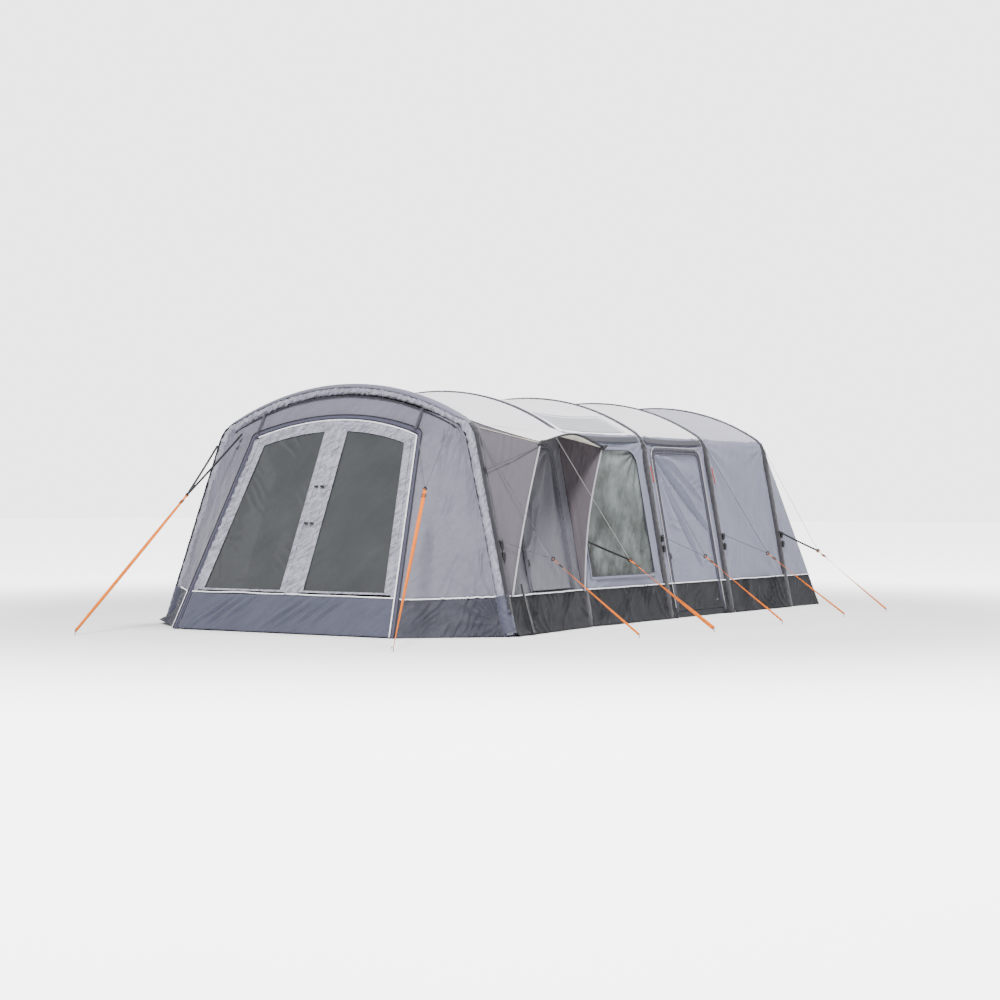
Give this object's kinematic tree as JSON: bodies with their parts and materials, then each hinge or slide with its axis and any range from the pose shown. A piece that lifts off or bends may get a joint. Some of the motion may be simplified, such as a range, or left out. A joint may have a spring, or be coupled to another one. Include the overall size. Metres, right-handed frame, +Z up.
{
  "type": "tunnel tent",
  "caption": "Large tunnel tent on inflatable arches, with a leaning front door, a side porch, side door, windows and guy lines.",
  "frame": {"origin": "middle of the groundsheet's underside, on the ground", "axes": "+Z up, front door faces -Y, porch and side door on the +X side"},
  "size_m": [6.036, 8.3048, 2.1566],
  "materials": {
    "beam_sleeve": "woven polyester sleeve over an inflated tube",
    "roof_fabric": "coated woven polyester, satin",
    "wall_fabric": "coated woven polyester, satin",
    "porch_fabric": "coated woven polyester, warmer grey",
    "skirt_fabric": "coated woven polyester, matt",
    "tinted_pane": "tinted window film behind mesh",
    "clear_pane": "clear flexible window film",
    "groundsheet_fabric": "laminated sheet",
    "bedroom_fabric": "breathable woven fabric",
    "orange_webbing": "woven guy webbing",
    "black_plastic": "moulded plastic"
  },
  "bodies": {
    "root": {"air_beam_1": "beam_sleeve", "air_beam_2": "beam_sleeve", "air_beam_3": "beam_sleeve", "air_beam_4": "beam_sleeve", "air_beam_5": "beam_sleeve", "fly_bay_1": "roof_fabric", "fly_bay_2": "roof_fabric", "fly_bay_3": "roof_fabric", "fly_bay_4": "roof_fabric", "porch_canopy": "roof_fabric", "rear_wall": "wall_fabric", "front_wing_right": "wall_fabric", "front_wing_left": "wall_fabric", "front_hood": "wall_fabric", "front_door_frame": "wall_fabric", "porch_wing_front": "porch_fabric", "porch_wing_rear": "porch_fabric", "side_window_right": "clear_pane", "side_window_left": "clear_pane", "roof_light_right": "clear_pane", "roof_light_left": "clear_pane", "groundsheet": "groundsheet_fabric", "inner_tent": "bedroom_fabric", "porch_rim": "black_plastic", "porch_strut_front": "black_plastic", "porch_strut_rear": "black_plastic", "guy_right_1": "orange_webbing", "guy_right_2": "orange_webbing", "guy_left_2": "orange_webbing", "guy_right_3": "orange_webbing", "guy_left_3": "orange_webbing", "guy_right_4": "orange_webbing", "guy_left_4": "orange_webbing", "guy_right_5": "orange_webbing", "guy_left_5": "orange_webbing", "guy_right_front": "orange_webbing", "guy_left_front": "orange_webbing"},
    "runner_right_1": {"runner_right_1": "black_plastic"},
    "runner_right_2": {"runner_right_2": "black_plastic"},
    "runner_left_2": {"runner_left_2": "black_plastic"},
    "runner_right_3": {"runner_right_3": "black_plastic"},
    "runner_left_3": {"runner_left_3": "black_plastic"},
    "runner_right_4": {"runner_right_4": "black_plastic"},
    "runner_left_4": {"runner_left_4": "black_plastic"},
    "runner_right_5": {"runner_right_5": "black_plastic"},
    "runner_left_5": {"runner_left_5": "black_plastic"},
    "runner_right_front": {"runner_right_front": "black_plastic"},
    "runner_left_front": {"runner_left_front": "black_plastic"},
    "front_leaf_right": {"front_leaf_right": "wall_fabric", "front_window_right": "tinted_pane"},
    "front_leaf_left": {"front_leaf_left": "wall_fabric", "front_window_left": "tinted_pane"},
    "front_threshold": {"front_threshold": "skirt_fabric"},
    "side_door": {"side_door": "wall_fabric"},
    "porch_door": {"porch_door": "wall_fabric"}
  },
  "joints": [
    {"name": "porch_door_hinge", "type": "hinge", "parent": "root", "child": "porch_door", "pos_m": [1.5453, -1.5189, 0.97], "axis": [0.2145, -0.0428, -0.9758], "range_deg": [0, 80]},
    {"name": "side_door_hinge", "type": "hinge", "parent": "root", "child": "side_door", "pos_m": [1.5713, 1.3427, 0.8], "axis": [-0.2004, 0.0296, 0.9793], "range_deg": [0, 85]},
    {"name": "front_threshold_hinge", "type": "hinge", "parent": "root", "child": "front_threshold", "pos_m": [0, -3.5583, 0.006], "axis": [1, 0, 0], "range_deg": [0, 105]},
    {"name": "front_leaf_left_hinge", "type": "hinge", "parent": "root", "child": "front_leaf_left", "pos_m": [-0.0715, -3.109, 1], "axis": [0, 0.4119, 0.9112], "range_deg": [0, 85]},
    {"name": "front_leaf_right_hinge", "type": "hinge", "parent": "root", "child": "front_leaf_right", "pos_m": [0.0715, -3.109, 1], "axis": [0, -0.4119, -0.9112], "range_deg": [0, 85]},
    {"name": "runner_right_1_slide", "type": "slide", "parent": "root", "child": "runner_right_1", "axis": [0.7412, 0.2025, -0.64], "range_m": [-0.03, 0.5]},
    {"name": "runner_right_2_slide", "type": "slide", "parent": "root", "child": "runner_right_2", "axis": [0.83, -0.056, -0.5549], "range_m": [-0.03, 0.5]},
    {"name": "runner_left_2_slide", "type": "slide", "parent": "root", "child": "runner_left_2", "axis": [-0.83, -0.056, -0.5549], "range_m": [-0.03, 0.5]},
    {"name": "runner_right_3_slide", "type": "slide", "parent": "root", "child": "runner_right_3", "axis": [0.8238, -0.1341, -0.5508], "range_m": [-0.03, 0.5]},
    {"name": "runner_left_3_slide", "type": "slide", "parent": "root", "child": "runner_left_3", "axis": [-0.8238, -0.1341, -0.5508], "range_m": [-0.03, 0.5]},
    {"name": "runner_right_4_slide", "type": "slide", "parent": "root", "child": "runner_right_4", "axis": [0.8285, -0.0819, -0.5539], "range_m": [-0.03, 0.5]},
    {"name": "runner_left_4_slide", "type": "slide", "parent": "root", "child": "runner_left_4", "axis": [-0.8285, -0.0819, -0.5539], "range_m": [-0.03, 0.5]},
    {"name": "runner_right_5_slide", "type": "slide", "parent": "root", "child": "runner_right_5", "axis": [0.8088, -0.2313, -0.5407], "range_m": [-0.03, 0.5]},
    {"name": "runner_left_5_slide", "type": "slide", "parent": "root", "child": "runner_left_5", "axis": [-0.8088, -0.2313, -0.5407], "range_m": [-0.03, 0.5]},
    {"name": "runner_right_front_slide", "type": "slide", "parent": "root", "child": "runner_right_front", "axis": [0.354, -0.7091, -0.6098], "range_m": [-0.03, 0.5]},
    {"name": "runner_left_front_slide", "type": "slide", "parent": "root", "child": "runner_left_front", "axis": [-0.0244, -0.7592, -0.6504], "range_m": [-0.03, 0.5]}
  ]
}
